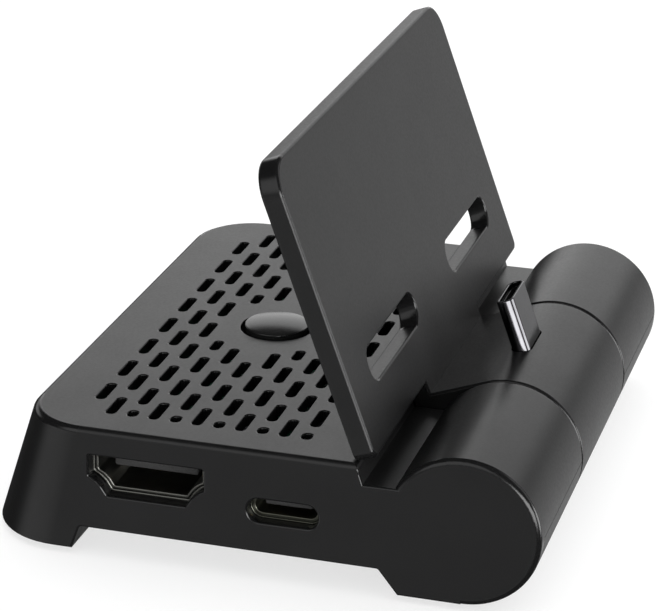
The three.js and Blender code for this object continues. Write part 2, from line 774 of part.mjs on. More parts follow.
addPiece(dock, "hdmi_socket_shell", socketShell(hdmiOutline, -1, 11), looks.socket);
addPiece(dock, "hdmi_socket_tongue", tongue(-1, HDMI.y, 1.5, 11.4, 1.2, 7.6, 11), looks.insulator);
addPiece(dock, "usb_c_socket_shell", socketShell(usbCOutline, -1, 7.6), looks.socket);
addPiece(dock, "usb_c_socket_tongue", tongue(-1, USB_C.y, USB_C.z, 6.4, 0.7, 5.4, 7.6), looks.insulator);
addPiece(dock, "usb_a_socket_shell", socketShell(usbAOutline, 1, 13.2), looks.socket);
addPiece(dock, "usb_a_socket_tongue", tongue(1, USB_A.y, USB_A.z + 0.9, 11, 1.8, 9.6, 13.2), looks.insulator);

addPiece(dock, "video_chip", blockOnBoard(-16, 38, 10, 10, 1.2), looks.chip);
addPiece(dock, "power_chip", blockOnBoard(-18, 25, 6, 6, 1), looks.chip);
addPiece(dock, "hub_chip", blockOnBoard(14, 38, 7, 7, 1), looks.chip);
addPiece(dock, "power_inductor", blockOnBoard(-8.5, 26, 5, 5, 3), looks.ferrite);
addPiece(dock, "crystal", blockOnBoard(9, 30, 3.2, 2.5, 0.9), looks.can);
addPiece(dock, "capacitor_left", canOnBoard(-24, 32.5, 2.4, 5), looks.can);
addPiece(dock, "capacitor_right", canOnBoard(16, 29.5, 2.4, 5), looks.can);
addPiece(dock, "board_connector", blockOnBoard(26.4, 21.8, 7, 4.4, 3.4), looks.housing);
addPiece(dock, "switch_body", switchBody(), looks.chip);
const plunger = postZ(SWITCH.plungerR, BOARD.top + 2.3, BUTTON.foot - 0.3, 0, BUTTON.y, 16);
addPiece(dock, "switch_plunger", plunger, looks.insulator);
addPiece(dock, "mode_button", modeButton(), looks.button);

for (const side of [-1, 1]) {
  const sideName = side < 0 ? "left" : "right";
  const [from, to] = onSide(side, BRACKET_FACE, BRACKET_BACK);
  const holeR = (side < 0 ? SHAFT_R : TUBE_R) + RUNNING_FIT;
  const screwPlaces = [-BRACKET.screwY, BRACKET.screwY];
  const cuts = screwPlaces.map((y) => rodX(0.85, from - 1, to + 1, 12, y, BRACKET.screwZ));
  const strap = alongX(roundedRect(0, BRACKET.z, BRACKET.length, BRACKET.height, 2), from, to)
    .subtract(joined([rodX(holeR, from - 1, to + 1), ...cuts]));
  addPiece(dock, `hinge_bracket_${sideName}`, strap, looks.steel);
  screwPlaces.forEach((y, i) => {
    const geometry = screwX(side, y, BRACKET.screwZ, BRACKET_BACK + 1.1);
    addPiece(dock, `hinge_screw_${sideName}_${i + 1}`, geometry, looks.screw);
  });
}
const headX = BRACKET_BACK + 0.2;
addPiece(dock, "hinge_shaft", turnedX([
  [0, -headX - 1.2],
  [2.9, -headX - 1.2],
  [2.9, -headX],
  [SHAFT_R, -headX],
  [SHAFT_R, -5.4],
  [SHAFT_R - 0.4, -5],
  [0, -5],
], 20), looks.steel);
const hingeTube = rodX(TUBE_R, DRUM_BORE_HALF - 0.8, headX + 0.5)
  .add(rodX(TUBE_R + 0.5, headX, headX + 1))
  .subtract(rodX(1.6, DRUM_BORE_HALF - 2, headX + 2));
addPiece(dock, "hinge_tube", hingeTube, looks.steel);
addPiece(dock, "hinge_lead", hingeLead(), looks.lead);

addPiece(turning, "cradle", cradle(), looks.cradle);
addPiece(turning, "drum_lid", drumLid(), looks.cradle);
for (const side of [-1, 1]) {
  const geometry = screw(0, 0, 0, 0.7, 4.6, 1.2, 0.6);
  geometry.rotateX(QUARTER + LID_ANGLE);
  const out = DRUM_R - 0.35;
  geometry.translate(side * LID_SCREW_X, out * Math.cos(LID_ANGLE), out * Math.sin(LID_ANGLE));
  addPiece(turning, `lid_screw_${side < 0 ? "left" : "right"}`, geometry, looks.screw);
}
const clip = rodX(3.4, -10.6, -6.2)
  .subtract(rodX(SHAFT_R + RUNNING_FIT, -11, -6))
  .subtract(box(-11, -6, 0, 6, -0.5, 0.5));
addPiece(turning, "friction_clip", clip, looks.steel);

const plugBoardTop = PLUG.foot - 0.3;
const plugBoard = box(-9.5, 9.5, -5.6, 3.2, plugBoardTop - 0.9, plugBoardTop);
addPiece(turning, "plug_board", plugBoard, looks.board);
addPiece(turning, "plug_board_connector", box(4.4, 9.2, -2, 2, -1.6, plugBoardTop - 1.2), looks.housing);
const plugShell = alongZ([plugOutline(0)], PLUG.foot, PLUG.tip)
  .subtract(alongZ([plugOutline(PLUG.skin)], PLUG.foot + 0.5, PLUG.tip + 1));
addPiece(turning, "plug_shell", plugShell, looks.plug);
const insertFloor = PLUG.foot + 0.7;
const plugInsert = alongZ([plugOutline(PLUG.skin + 0.1)], insertFloor, PLUG.tip - 0.5)
  .subtract(alongZ([roundedRect(0, PLUG.y, 6.6, 0.9, 0.3, 2)], insertFloor + 3, PLUG.tip + 1));
addPiece(turning, "plug_insert", plugInsert, looks.insulator);

// The middle of the footprint becomes the origin, at the level of the pads
const footprintMiddle = (BACK_AT_FOOT - BARREL_R) / 2;
dock.position.set(0, -footprintMiddle, PAD_PROUD - FOOT_LEVEL);
dock.updateMatrixWorld(true);

export default dock;
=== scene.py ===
"""Looks for the folding television dock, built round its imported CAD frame.

Shapes are made in millimetres in the hinge's own frame: X along the hinge, Y to the back, Z up,
with the hinge's axis at y = 0, z = 0. They are moved into the row frame, in metres, when they
are placed. Cradle pieces are made upright and leaned back when they are placed.
"""

import json
import math

import bmesh
import bpy
import numpy as np
from mathutils import Matrix, Vector


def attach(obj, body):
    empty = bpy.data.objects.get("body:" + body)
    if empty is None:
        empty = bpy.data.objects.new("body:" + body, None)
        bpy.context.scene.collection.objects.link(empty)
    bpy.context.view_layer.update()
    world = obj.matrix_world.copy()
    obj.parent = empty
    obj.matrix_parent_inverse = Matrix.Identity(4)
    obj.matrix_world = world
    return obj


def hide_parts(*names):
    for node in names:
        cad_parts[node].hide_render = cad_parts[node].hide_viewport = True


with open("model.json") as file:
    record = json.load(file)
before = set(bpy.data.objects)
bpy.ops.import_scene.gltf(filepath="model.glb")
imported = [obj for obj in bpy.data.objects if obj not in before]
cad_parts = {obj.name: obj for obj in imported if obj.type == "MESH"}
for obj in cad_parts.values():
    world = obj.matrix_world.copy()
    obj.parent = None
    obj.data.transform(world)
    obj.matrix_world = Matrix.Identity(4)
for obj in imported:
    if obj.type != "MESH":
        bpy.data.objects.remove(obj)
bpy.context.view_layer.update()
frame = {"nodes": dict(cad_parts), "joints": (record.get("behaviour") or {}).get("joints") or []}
HINGE = Vector(next(j["pos_m"] for j in frame["joints"] if j["type"] == "hinge"))

# ---------------------------------------------------------------- camera and stage

IMAGE_WIDTH = 657
FOCAL_PIXELS = 2629.5
CAMERA_FROM_HINGE = Vector((-0.32379, -0.06623, 0.14715))
CAMERA_FORWARD = (0.890106, 0.262347, -0.372673)
CAMERA_RIGHT = (0.285413, -0.958379, 0.007031)


def make_camera():
    data = bpy.data.cameras.new("camera")
    data.sensor_width = 36
    data.lens = FOCAL_PIXELS * data.sensor_width / IMAGE_WIDTH
    data.clip_start = 0.01
    data.clip_end = 20
    camera = bpy.data.objects.new("camera", data)
    forward = Vector(CAMERA_FORWARD).normalized()
    right = Vector(CAMERA_RIGHT).normalized()
    up = right.cross(forward).normalized()
    turn = Matrix((right, up, -forward)).transposed().to_4x4()
    camera.matrix_world = Matrix.Translation(HINGE + CAMERA_FROM_HINGE) @ turn
    bpy.context.scene.collection.objects.link(camera)
    bpy.context.scene.camera = camera


# Soft boxes round the object: azimuth and elevation of the middle in degrees, with azimuth 0
# along +X, then half the width and half the height in degrees, and the brightness
SOFT_BOXES = [
    (7, 18, 34, 18, 1.5),
    (-22, -15, 32, 24, 0.53),
    (58, 13, 20, 10, 0.9),
    (-58, 27, 22, 27, 1),
    (124, -22, 27, 25, 0.85),
    (172, -22, 26, 20, 0.45),
    (160, 26, 34, 30, 1.3),
    (-138, 2, 32, 16, 9.5),
    (-72, -4, 20, 16, 7),
]
ROOM_LEVEL = 0.04
# Where a soft box starts to fade and where it ends, as shares of its half size
FADE_FROM, FADE_TO = 0.65, 1.15
OVERHEAD_POWER = 3.1


def soft_box(nodes, links, direction, azimuth, elevation, half_width, half_height, level):
    """Brightness of one soft box, which fades out round its rim."""
    turn = (math.radians(azimuth), math.radians(-elevation))
    middle = Matrix.Rotation(turn[0], 3, "Z") @ Matrix.Rotation(turn[1], 3, "Y") @ Vector((1, 0, 0))
    local = nodes.new("ShaderNodeMapping")
    local.vector_type = "TEXTURE"
    local.inputs["Location"].default_value = middle
    local.inputs["Rotation"].default_value = (0, turn[1], turn[0])
    reach = (1, math.sin(math.radians(half_width)), math.sin(math.radians(half_height)))
    local.inputs["Scale"].default_value = reach
    links.new(direction, local.inputs["Vector"])
    distance = nodes.new("ShaderNodeVectorMath")
    distance.operation = "LENGTH"
    links.new(local.outputs["Vector"], distance.inputs[0])
    fade = nodes.new("ShaderNodeMapRange")
    fade.interpolation_type = "SMOOTHSTEP"
    fade.inputs["From Min"].default_value = FADE_FROM
    fade.inputs["From Max"].default_value = FADE_TO
    fade.inputs["To Min"].default_value = level
    fade.inputs["To Max"].default_value = 0
    links.new(distance.outputs["Value"], fade.inputs["Value"])
    return fade.outputs["Result"]


def make_studio():
    """A dark room with soft boxes, which is what the object's surfaces mirror."""
    world = bpy.data.worlds.new("studio")
    bpy.context.scene.world = world
    world.use_nodes = True
    nodes, links = world.node_tree.nodes, world.node_tree.links
    direction = nodes.new("ShaderNodeTexCoord").outputs["Generated"]
    total = None
    for row in SOFT_BOXES:
        level = soft_box(nodes, links, direction, *row)
        add = nodes.new("ShaderNodeMath")
        links.new(level, add.inputs[0])
        if total is None:
            add.inputs[1].default_value = ROOM_LEVEL
        else:
            links.new(total, add.inputs[1])
        total = add.outputs["Value"]
    links.new(total, nodes["Background"].inputs["Strength"])
    nodes["Background"].inputs["Color"].default_value = (1, 1, 1, 1)


def make_overhead_light():
    """Soft light from above that lights the floor but makes no highlights."""
    data = bpy.data.lights.new("overhead", "SUN")
    data.energy = OVERHEAD_POWER
    data.angle = math.radians(100)
    light = bpy.data.objects.new("overhead", data)
    light.rotation_euler = (0.15, 0.2, 0)
    light.visible_glossy = False
    bpy.context.scene.collection.objects.link(light)


make_camera()
bpy.context.scene.view_settings.view_transform = "Standard"
bpy.context.scene.view_settings.look = "None"
make_studio()
make_overhead_light()

# ---------------------------------------------------------------- dimensions, as in the CAD

RECLINE = math.radians(20)
HALF = 40
BASE_TOP, FOOT_LEVEL, RECESS_TOP = 7.5, -9.9, -6.6
BACK_AT_TOP, BACK_AT_FOOT = 59.4, 65.5
CORNER_AT_TOP, CORNER_AT_FOOT = 8.8, 10.8
WALL, SIDE_WALL = 1.6, 1.8
ROOF = BASE_TOP - WALL
FLOOR_TOP = RECESS_TOP + WALL
FIT_GAP = 0.25
PARTING_GAP = 0.1
BARREL_R, DRUM_R = 10, 10
DRUM_HALF = 14.46
DRUM_GAP_HALF = DRUM_HALF + 0.34
GROOVE_FRONT, GROOVE_FLOOR, GROOVE_END, GROOVE_EDGE = 2, 4.82, 12.85, 14.5
GROOVE_SLOPE, GROOVE_EDGE_R = 0.45, 1.2
DRUM_WALL_FOOT = (10.8, -2.4)
PLUG_SWEEP_R, PLUG_SWEEP_TOP, PLUG_SWEEP_HALF = 18, 4.3, 4.75
COVER_STEP = 9.4
PLATE_FRONT, PLATE_BACK, PLATE_EDGE = 7.85, 10.7, 0.45
PLATE_WIDTH, PLATE_LOW, PLATE_HIGH = 78.6, 11.6, 51.09
PLATE_LOW_R, PLATE_HIGH_R = 1.2, 4.2
BOARD_TOP = -2.1
BUTTON_Y, BUTTON_R, BUTTON_PROUD = 36.65, 4.5, 0.95
COVER_SCREWS = [(-32, 1), (32, 1), (-30, 56), (30, 56)]
BOARD_SCREWS = [(-14, 51), (20, 51), (16, 23)]
SCREW_BORE_R, SMALL_BORE_R, SCREW_CLEAR_R = 0.95, 0.75, 1.2
SEAT_R, SEAT_DEPTH = 2.1, 2.6
BOSS_R, COVER_BOSS_R = 2.3, 3.4
# Where the bosses of the shell and of the cover meet under the barrels
SHELL_BOSS_END, COVER_BOSS_END = -3.6, -3.9
SHAFT_HOLE_R, TUBE_HOLE_R = 2.06, 3.06
LID_ANGLE = math.radians(-50)
LID_SCREW_X = 12.6
# How far a cutter goes past a face, and a distance that is past everything
BEYOND = 1.0
FAR = 25

# Rounding of the moulded edges
EDGE_R = 0.8
RIM_R = 0.3
SEAM_R = 0.38

# ---------------------------------------------------------------- outlines


def arc(a, b, radius, start, end, steps):
    """Points on an arc; start and end are in quarter turns."""
    turns = [start + (end - start) * i / steps for i in range(steps + 1)]
    angles = [t * math.pi / 2 for t in turns]
    return [(a + radius * math.cos(t), b + radius * math.sin(t)) for t in angles]


def rounded_rect(a, b, length, height, radius, steps=8):
    p, q = length / 2 - radius, height / 2 - radius
    corners = [(p, -q, -1), (p, q, 0), (-p, q, 1), (-p, -q, 2)]
    return [pt for u, v, k in corners for pt in arc(a + u, b + v, radius, k, k + 1, steps)]


def offset(points, distance):
    """The outline moved outwards by a small distance, for an outline that runs anticlockwise."""
    if distance == 0:
        return list(points)
    p = np.array(points, float)
    edge = np.roll(p, -1, 0) - p
    edge /= np.linalg.norm(edge, axis=1)[:, None]
    normal = np.stack([edge[:, 1], -edge[:, 0]], 1)
    before = np.roll(normal, 1, 0)
    mitre = (normal + before) / (1 + (normal * before).sum(1))[:, None]
    return [tuple(q) for q in p + distance * mitre]


def softened(corners, steps=6):
    """An outline from (a, b, radius) corners, with each corner rounded by its radius."""
    points = []
    count = len(corners)
    for i, (a, b, radius) in enumerate(corners):
        here = Vector((a, b))
        if not radius:
            points.append((a, b))
            continue
        back = (Vector(corners[i - 1][:2]) - here).normalized()
        on = (Vector(corners[(i + 1) % count][:2]) - here).normalized()
        half = back.angle(on) / 2
        middle = here + (back + on).normalized() * radius / math.sin(half)
        reach = radius / math.tan(half)
        first = here + back * reach - middle
        sweep = first.angle_signed(here + on * reach - middle)
        for k in range(steps + 1):
            angle = -sweep * k / steps
            points.append(tuple(middle + Matrix.Rotation(angle, 2) @ first))
    return points


# ---------------------------------------------------------------- solids


def build(points, faces):
    mesh = bpy.data.meshes.new("solid")
    mesh.from_pydata([tuple(p) for p in points], [], faces)
    work = bmesh.new()
    work.from_mesh(mesh)
    bmesh.ops.remove_doubles(work, verts=work.verts, dist=1e-5)
    bmesh.ops.recalc_face_normals(work, faces=work.faces)
    work.to_mesh(mesh)
    work.free()
    solid = bpy.data.objects.new("solid", mesh)
    bpy.context.scene.collection.objects.link(solid)
    return solid


def loft(layers):
    """A solid through a stack of rings with equal numbers of points."""
    count = len(layers[0])
    points = [p for ring in layers for p in ring]
    faces = []
    for k in range(len(layers) - 1):
        low, high = k * count, (k + 1) * count
        for i in range(count):
            j = (i + 1) % count
            faces.append((low + i, low + j, high + j, high + i))
    last = (len(layers) - 1) * count
    faces.append(tuple(range(count))[::-1])
    faces.append(tuple(last + i for i in range(count)))
    return build(points, faces)


AXES = {
    "x": lambda a, b, d: (d, a, b),
    "y": lambda a, b, d: (a, d, b),
    "z": lambda a, b, d: (a, b, d),
}


def prism(outline, axis, levels):
    """A solid along an axis through (level, offset) pairs of one outline."""
    put = AXES[axis]
    return loft([[put(a, b, level) for a, b in offset(outline, grow)] for level, grow in levels])


def plain_levels(low, high):
    return [(low, 0), (high, 0)]


def rounded_levels(low, high, r_low, r_high, steps=4):
    """Levels of a solid whose end edges are rounded."""
    quarter = [math.pi / 2 * i / steps for i in range(steps + 1)]
    first = [(low + r_low * (1 - math.sin(t)), -r_low * (1 - math.cos(t))) for t in quarter[::-1]]
    last = [(high - r_high * (1 - math.sin(t)), -r_high * (1 - math.cos(t))) for t in quarter]
    return (first if r_low else [(low, 0)]) + (last if r_high else [(high, 0)])


def flared_levels(low, high, r_low, r_high, steps=4):
    """Levels of a cutter that leaves a rounded rim at the ends that have a radius."""
    levels = [(at, -grow) for at, grow in rounded_levels(low, high, r_low, r_high, steps)]
    if r_low:
        levels.insert(0, (low - BEYOND, r_low))
    if r_high:
        levels.append((high + BEYOND, r_high))
    return levels


def lathe(profile, sides, axis="z", centre=(0, 0)):
    """A solid turned about an axis, from (radius, level) pairs that start and end on the axis."""
    put = AXES[axis]
    inner = [(r, level) for r, level in profile if r > 0]
    points = []
    for r, level in inner:
        for i in range(sides):
            t = 2 * math.pi * i / sides
            points.append(put(centre[0] + r * math.cos(t), centre[1] + r * math.sin(t), level))
    faces = []
    for k in range(len(inner) - 1):
        for i in range(sides):
            j = (i + 1) % sides
            low, high = k * sides, (k + 1) * sides
            faces.append((low + i, low + j, high + j, high + i))
    first, last = len(points), len(points) + 1
    points.append(put(*centre, profile[0][1]))
    points.append(put(*centre, profile[-1][1]))
    top = (len(inner) - 1) * sides
    for i in range(sides):
        j = (i + 1) % sides
        faces.append((j, i, first))
        faces.append((top + i, top + j, last))
    return build(points, faces)


def rod(radius, low, high, axis="z", centre=(0, 0), sides=48):
    return lathe([(0, low), (radius, low), (radius, high), (0, high)], sides, axis, centre)


def round_ends(radius, low, high, r_low, r_high, steps=5):
    """A lathe profile of a rod whose end edges are rounded."""
    ring = rounded_levels(low, high, r_low, r_high, steps)
    return [(0, low)] + [(radius + grow, level) for level, grow in ring] + [(0, high)]


def box(x0, x1, y0, y1, z0, z1):
    return prism([(x0, y0), (x1, y0), (x1, y1), (x0, y1)], "z", plain_levels(z0, z1))


def together(solids):
    """One object of several solids that don't touch."""
    whole, *others = solids
    work = bmesh.new()
    work.from_mesh(whole.data)
    for other in others:
        work.from_mesh(other.data)
        bpy.data.objects.remove(other)
    work.to_mesh(whole.data)
    work.free()
    return whole


def combine(first, second, operation):
    modifier = first.modifiers.new("combine", "BOOLEAN")
    modifier.operation = operation
    modifier.object = second
    modifier.solver = "MANIFOLD"
    bpy.context.view_layer.update()
    graph = bpy.context.evaluated_depsgraph_get()
    mesh = bpy.data.meshes.new_from_object(first.evaluated_get(graph))
    first.modifiers.clear()
    first.data = mesh
    bpy.data.objects.remove(second)
    return first


def join(first, *others):
    for other in others:
        first = combine(first, other, "UNION")
    return first


def cut(first, *others):
    for other in others:
        first = combine(first, other, "DIFFERENCE")
    return first


def keep(first, other):
    return combine(first, other, "INTERSECT")


def copied(solid):
    twin = solid.copy()
    twin.data = solid.data.copy()
    bpy.context.scene.collection.objects.link(twin)
    return twin


def turned(solid, matrix):
    solid.data.transform(matrix)
    return solid


# ---------------------------------------------------------------- shading and placing

SMOOTH_LIMIT = math.cos(math.radians(32))
EDGE_TURN = math.radians(6)
FLAT_AREA = 1.5
WELD = 2e-4
# How finely flat patches are told apart, by their direction and by how far out they are
NORMAL_STEPS, OFFSET_STEPS = 300, 30


def flat_patch_areas(normals, offsets, areas):
    """For each face, the whole area of the flat patch that it is part of."""
    keys = np.round(np.column_stack([normals * NORMAL_STEPS, offsets * OFFSET_STEPS])).astype(np.int64)
    _, patch = np.unique(keys, axis=0, return_inverse=True)
    patch = patch.ravel()
    return np.bincount(patch, weights=areas)[patch]


def shade(solid):
    """Smooth normals over rounded edges that leave flats flat, and marks the rounded edges."""
    work = bmesh.new()
    work.from_mesh(solid.data)
    bmesh.ops.remove_doubles(work, verts=work.verts, dist=WELD)
    bmesh.ops.dissolve_degenerate(work, edges=work.edges, dist=WELD)
    bmesh.ops.triangulate(work, faces=work.faces)
    work.to_mesh(solid.data)
    work.free()
    mesh = solid.data
    count = len(mesh.polygons)
    corner = np.zeros(count * 3, np.int32)
    mesh.loops.foreach_get("vertex_index", corner)
    points = np.zeros(len(mesh.vertices) * 3)
    mesh.vertices.foreach_get("co", points)
    tri = points.reshape(-1, 3)[corner.reshape(-1, 3)]
    cross = np.cross(tri[:, 1] - tri[:, 0], tri[:, 2] - tri[:, 0])
    double = np.linalg.norm(cross, axis=1)
    normals = cross / np.maximum(double, 1e-12)[:, None]
    weight = flat_patch_areas(normals, (normals * tri[:, 0]).sum(1), double / 2)
    order = np.argsort(corner, kind="stable")
    starts = np.flatnonzero(np.diff(corner[order], prepend=-1))
    result = np.zeros((count * 3, 3))
    bend = np.zeros(count)
    for at, end in zip(starts, [*starts[1:], len(order)]):
        loops = order[at:end]
        faces = loops // 3
        near = normals[faces] @ normals[faces].T
        mask = (near > SMOOTH_LIMIT) * weight[faces][None, :]
        result[loops] = mask @ normals[faces]
        bend[faces] = np.maximum(bend[faces], np.arccos(np.clip(near.min(1), -1, 1)))
    length = np.linalg.norm(result, axis=1)
    bad = length < 1e-9
    result[bad] = np.repeat(normals, 3, 0)[bad]
    length[bad] = 1
    mesh.shade_smooth()
    mesh.normals_split_custom_set((result / length[:, None]).tolist())
    rounded = (bend > EDGE_TURN) & (weight < FLAT_AREA)
    edge = mesh.attributes.new("edge", "FLOAT", "FACE")
    edge.data.foreach_set("value", rounded.astype(np.float32))


INTO_ROW = Matrix.Translation(HINGE) @ Matrix.Scale(0.001, 4)
INTO_CRADLE = INTO_ROW @ Matrix.Rotation(-RECLINE, 4, "X")


def place(solid, name, body, material, nodes=()):
    """Shades a finished solid, moves it into the row frame and hands it to its body."""
    shade(solid)
    solid.name = name
    solid.data.name = name
    solid.data.transform(INTO_CRADLE if body == "cradle" else INTO_ROW)
    solid.data.materials.clear()
    solid.data.materials.append(material)
    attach(solid, body)
    if nodes:
        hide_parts(*nodes)


# ---------------------------------------------------------------- materials


# Noise seldom leaves this range
NOISE_LOW, NOISE_HIGH = 0.3, 0.7


class Nodes:
    """A few words for building a node material."""

    def __init__(self, name):
        self.material = bpy.data.materials.new(name)
        self.material.use_nodes = True
        self.tree = self.material.node_tree
        self.shader = self.tree.nodes["Principled BSDF"]
        self.coordinates = self.add("ShaderNodeTexCoord").outputs["Object"]

    def add(self, kind, **values):
        node = self.tree.nodes.new(kind)
        for name, value in values.items():
            setattr(node, name, value)
        return node

    def feed(self, socket, value):
        if isinstance(value, bpy.types.NodeSocket):
            self.tree.links.new(value, socket)
        else:
            socket.default_value = value

    def noise(self, size_mm, detail=2.0, stretch=(1, 1, 1)):
        """Noise whose features are about size_mm across, from 0 to 1."""
        mapping = self.add("ShaderNodeMapping")
        self.feed(mapping.inputs["Vector"], self.coordinates)
        mapping.inputs["Scale"].default_value = stretch
        node = self.add("ShaderNodeTexNoise")
        self.feed(node.inputs["Vector"], mapping.outputs["Vector"])
        node.inputs["Scale"].default_value = 1000 / size_mm
        node.inputs["Detail"].default_value = detail
        return node.outputs["Fac"]

    def cells(self, size_mm):
        node = self.add("ShaderNodeTexVoronoi")
        self.feed(node.inputs["Vector"], self.coordinates)
        node.inputs["Scale"].default_value = 1000 / size_mm
        return node.outputs["Distance"]

    def spread(self, value, low, high):
        """Noise spread over the range from low to high."""
        node = self.add("ShaderNodeMapRange")
        self.feed(node.inputs["Value"], value)
        node.inputs["From Min"].default_value = NOISE_LOW
        node.inputs["From Max"].default_value = NOISE_HIGH
        node.inputs["To Min"].default_value = low
        node.inputs["To Max"].default_value = high
        return node.outputs["Result"]

    def maths(self, operation, a, b):
        node = self.add("ShaderNodeMath", operation=operation)
        self.feed(node.inputs[0], a)
        self.feed(node.inputs[1], b)
        return node.outputs["Value"]

    def mix(self, factor, a, b):
        """Two colours mixed; a mix node keeps its colours in sockets 6 and 7 and its result in 2."""
        node = self.add("ShaderNodeMix", data_type="RGBA")
        self.feed(node.inputs[0], factor)
        self.feed(node.inputs[6], a if isinstance(a, bpy.types.NodeSocket) else (*a, 1))
        self.feed(node.inputs[7], b if isinstance(b, bpy.types.NodeSocket) else (*b, 1))
        return node.outputs[2]

    def edge(self):
        return self.add("ShaderNodeAttribute", attribute_name="edge").outputs["Fac"]

    def bump(self, height, strength, depth_mm, under=None):
        node = self.add("ShaderNodeBump")
        node.inputs["Strength"].default_value = strength
        node.inputs["Distance"].default_value = depth_mm / 1000
        self.feed(node.inputs["Height"], height)
        if under is not None:
            self.feed(node.inputs["Normal"], under)
        return node.outputs["Normal"]


def moulded_plastic(name, dark, light, roughness, grain_mm=0.16, grain=0.12, ior=1.38):
    """Black plastic with a fine moulded grain, faint mottling, and smoother, paler edges; the paler
    edges are partly rubbed wear and partly a painted highlight.
    """
    n = Nodes(name)
    tone = n.mix(n.spread(n.noise(9, 3), 0, 1), dark, light)
    speck = n.mix(n.spread(n.noise(0.25, 1), 0, 0.35), tone, tuple(c * 1.9 for c in light))
    # Rounded edges, concave ones too, get a paler base colour: partly rubbed wear, partly a painted
    # highlight along the fillets.
    rubbed_and_highlit_edge = tuple(c * 1.2 for c in light)
    n.feed(n.shader.inputs["Base Color"], n.mix(n.maths("MULTIPLY", n.edge(), 0.45), speck, rubbed_and_highlit_edge))
    uneven = n.spread(n.noise(7, 2), roughness - 0.012, roughness + 0.012)
    fine = n.maths("ADD", uneven, n.spread(n.noise(0.4, 1), -0.03, 0.03))
    polished = n.maths("MULTIPLY", n.edge(), -0.15)
    n.feed(n.shader.inputs["Roughness"], n.maths("ADD", fine, polished))
    n.feed(n.shader.inputs["Normal"], n.bump(n.cells(grain_mm), grain, 0.02, n.bump(
        n.noise(2.4, 2), 0.02, 0.02)))
    n.shader.inputs["IOR"].default_value = ior
    return n.material


def metal(name, colour, roughness, streak=(1, 1, 1), streak_mm=0.5, strength=0.08):
    """Plated or stamped metal with drawing lines, faint tarnish and brighter edges, which are partly
    rubbed plating and partly a painted highlight.
    """
    n = Nodes(name)
    dull = tuple(c * 0.82 for c in colour)
    tone = n.mix(n.spread(n.noise(2.5, 3), 0, 1), dull, colour)
    # Rounded edges get a brighter base colour: partly rubbed plating, partly a painted highlight.
    rubbed_and_highlit_plating = tuple(min(1, c * 1.25) for c in colour)
    n.feed(n.shader.inputs["Base Color"], n.mix(n.maths("MULTIPLY", n.edge(), 0.6), tone, rubbed_and_highlit_plating))
    lines = n.noise(streak_mm, 2, streak)
    n.feed(n.shader.inputs["Roughness"], n.spread(lines, roughness - 0.04, roughness + 0.06))
    n.feed(n.shader.inputs["Normal"], n.bump(lines, strength, 0.01))
    n.shader.inputs["Metallic"].default_value = 1
    return n.material


def soft_rubber(name):
    n = Nodes(name)
    tone = n.mix(n.spread(n.noise(3, 3), 0, 1), (0.012, 0.012, 0.012), (0.022, 0.022, 0.022))
    # Paler on the rounded rim: partly dust, partly a painted highlight.
    dust_and_highlit_rim = n.mix(n.maths("MULTIPLY", n.edge(), 0.5), tone, (0.05, 0.05, 0.05))
    n.feed(n.shader.inputs["Base Color"], dust_and_highlit_rim)
    n.feed(n.shader.inputs["Roughness"], n.spread(n.noise(0.6, 2), 0.75, 0.92))
    n.feed(n.shader.inputs["Normal"], n.bump(n.cells(0.3), 0.4, 0.04))
    return n.material


def circuit_board(name):
    """Green solder mask over a faint pattern of tracks and pads."""
    n = Nodes(name)
    brick = n.add("ShaderNodeTexBrick")
    n.feed(brick.inputs["Vector"], n.coordinates)
    brick.inputs["Scale"].default_value = 420
    brick.inputs["Mortar Size"].default_value = 0.05
    brick.inputs["Color1"].default_value = (0.006, 0.045, 0.024, 1)
    brick.inputs["Color2"].default_value = (0.008, 0.06, 0.032, 1)
    brick.inputs["Mortar"].default_value = (0.012, 0.1, 0.05, 1)
    green = n.mix(n.spread(n.noise(4, 2), 0, 0.5), brick.outputs["Color"], (0.004, 0.03, 0.016))
    n.feed(n.shader.inputs["Base Color"], green)
    n.feed(n.shader.inputs["Roughness"], n.spread(n.noise(1.2, 2), 0.32, 0.48))
    n.feed(n.shader.inputs["Normal"], n.bump(brick.outputs["Fac"], 0.3, 0.02))
    return n.material


BLACK_DARK = (0.003, 0.003, 0.0031)
BLACK_LIGHT = (0.0042, 0.0042, 0.0043)
looks = {
    "shell": moulded_plastic("shell_plastic", BLACK_DARK, BLACK_LIGHT, 0.32),
    "cradle": moulded_plastic("cradle_plastic", BLACK_DARK, BLACK_LIGHT, 0.34),
    "button": moulded_plastic("button_plastic", (0.006,) * 3, (0.008,) * 3, 0.15, 0.6, 0.02, 1.4),
    "insulator": moulded_plastic("insulator_plastic", (0.02,) * 3, (0.028,) * 3, 0.4, 0.3, 0.1),
    "chip": moulded_plastic("chip_plastic", (0.014,) * 3, (0.02,) * 3, 0.5, 0.12, 0.3),
    "housing": moulded_plastic("housing_nylon", (0.62, 0.6, 0.53), (0.68, 0.66, 0.6), 0.42),
    "ferrite": moulded_plastic("ferrite", (0.06, 0.06, 0.065), (0.08, 0.08, 0.085), 0.75, 0.3, 0.6),
    "lead": moulded_plastic("lead_jacket", (0.012,) * 3, (0.018,) * 3, 0.55, 0.5, 0.1),
    "plug": metal("plug_plating", (0.095, 0.094, 0.099), 0.12, (1, 1, 0.05), 0.3, 0.01),
    "socket": metal("socket_plating", (0.12, 0.12, 0.11), 0.36, (1, 1, 1), 1.5, 0.02),
    "dull_socket": metal("dull_socket_plating", (0.1, 0.102, 0.082), 0.34, (1, 1, 1), 1.5, 0.02),
    "steel": metal("stamped_steel", (0.45, 0.46, 0.48), 0.32, (1, 0.06, 1)),
    "screw": metal("blackened_screw", (0.09, 0.09, 0.095), 0.36),
    "can": metal("aluminium_can", (0.6, 0.61, 0.63), 0.3),
    "contact": metal("gold_contact", (0.75, 0.52, 0.2), 0.22),
    "rubber": soft_rubber("rubber"),
    "board": circuit_board("circuit_board"),
}

# ---------------------------------------------------------------- stage


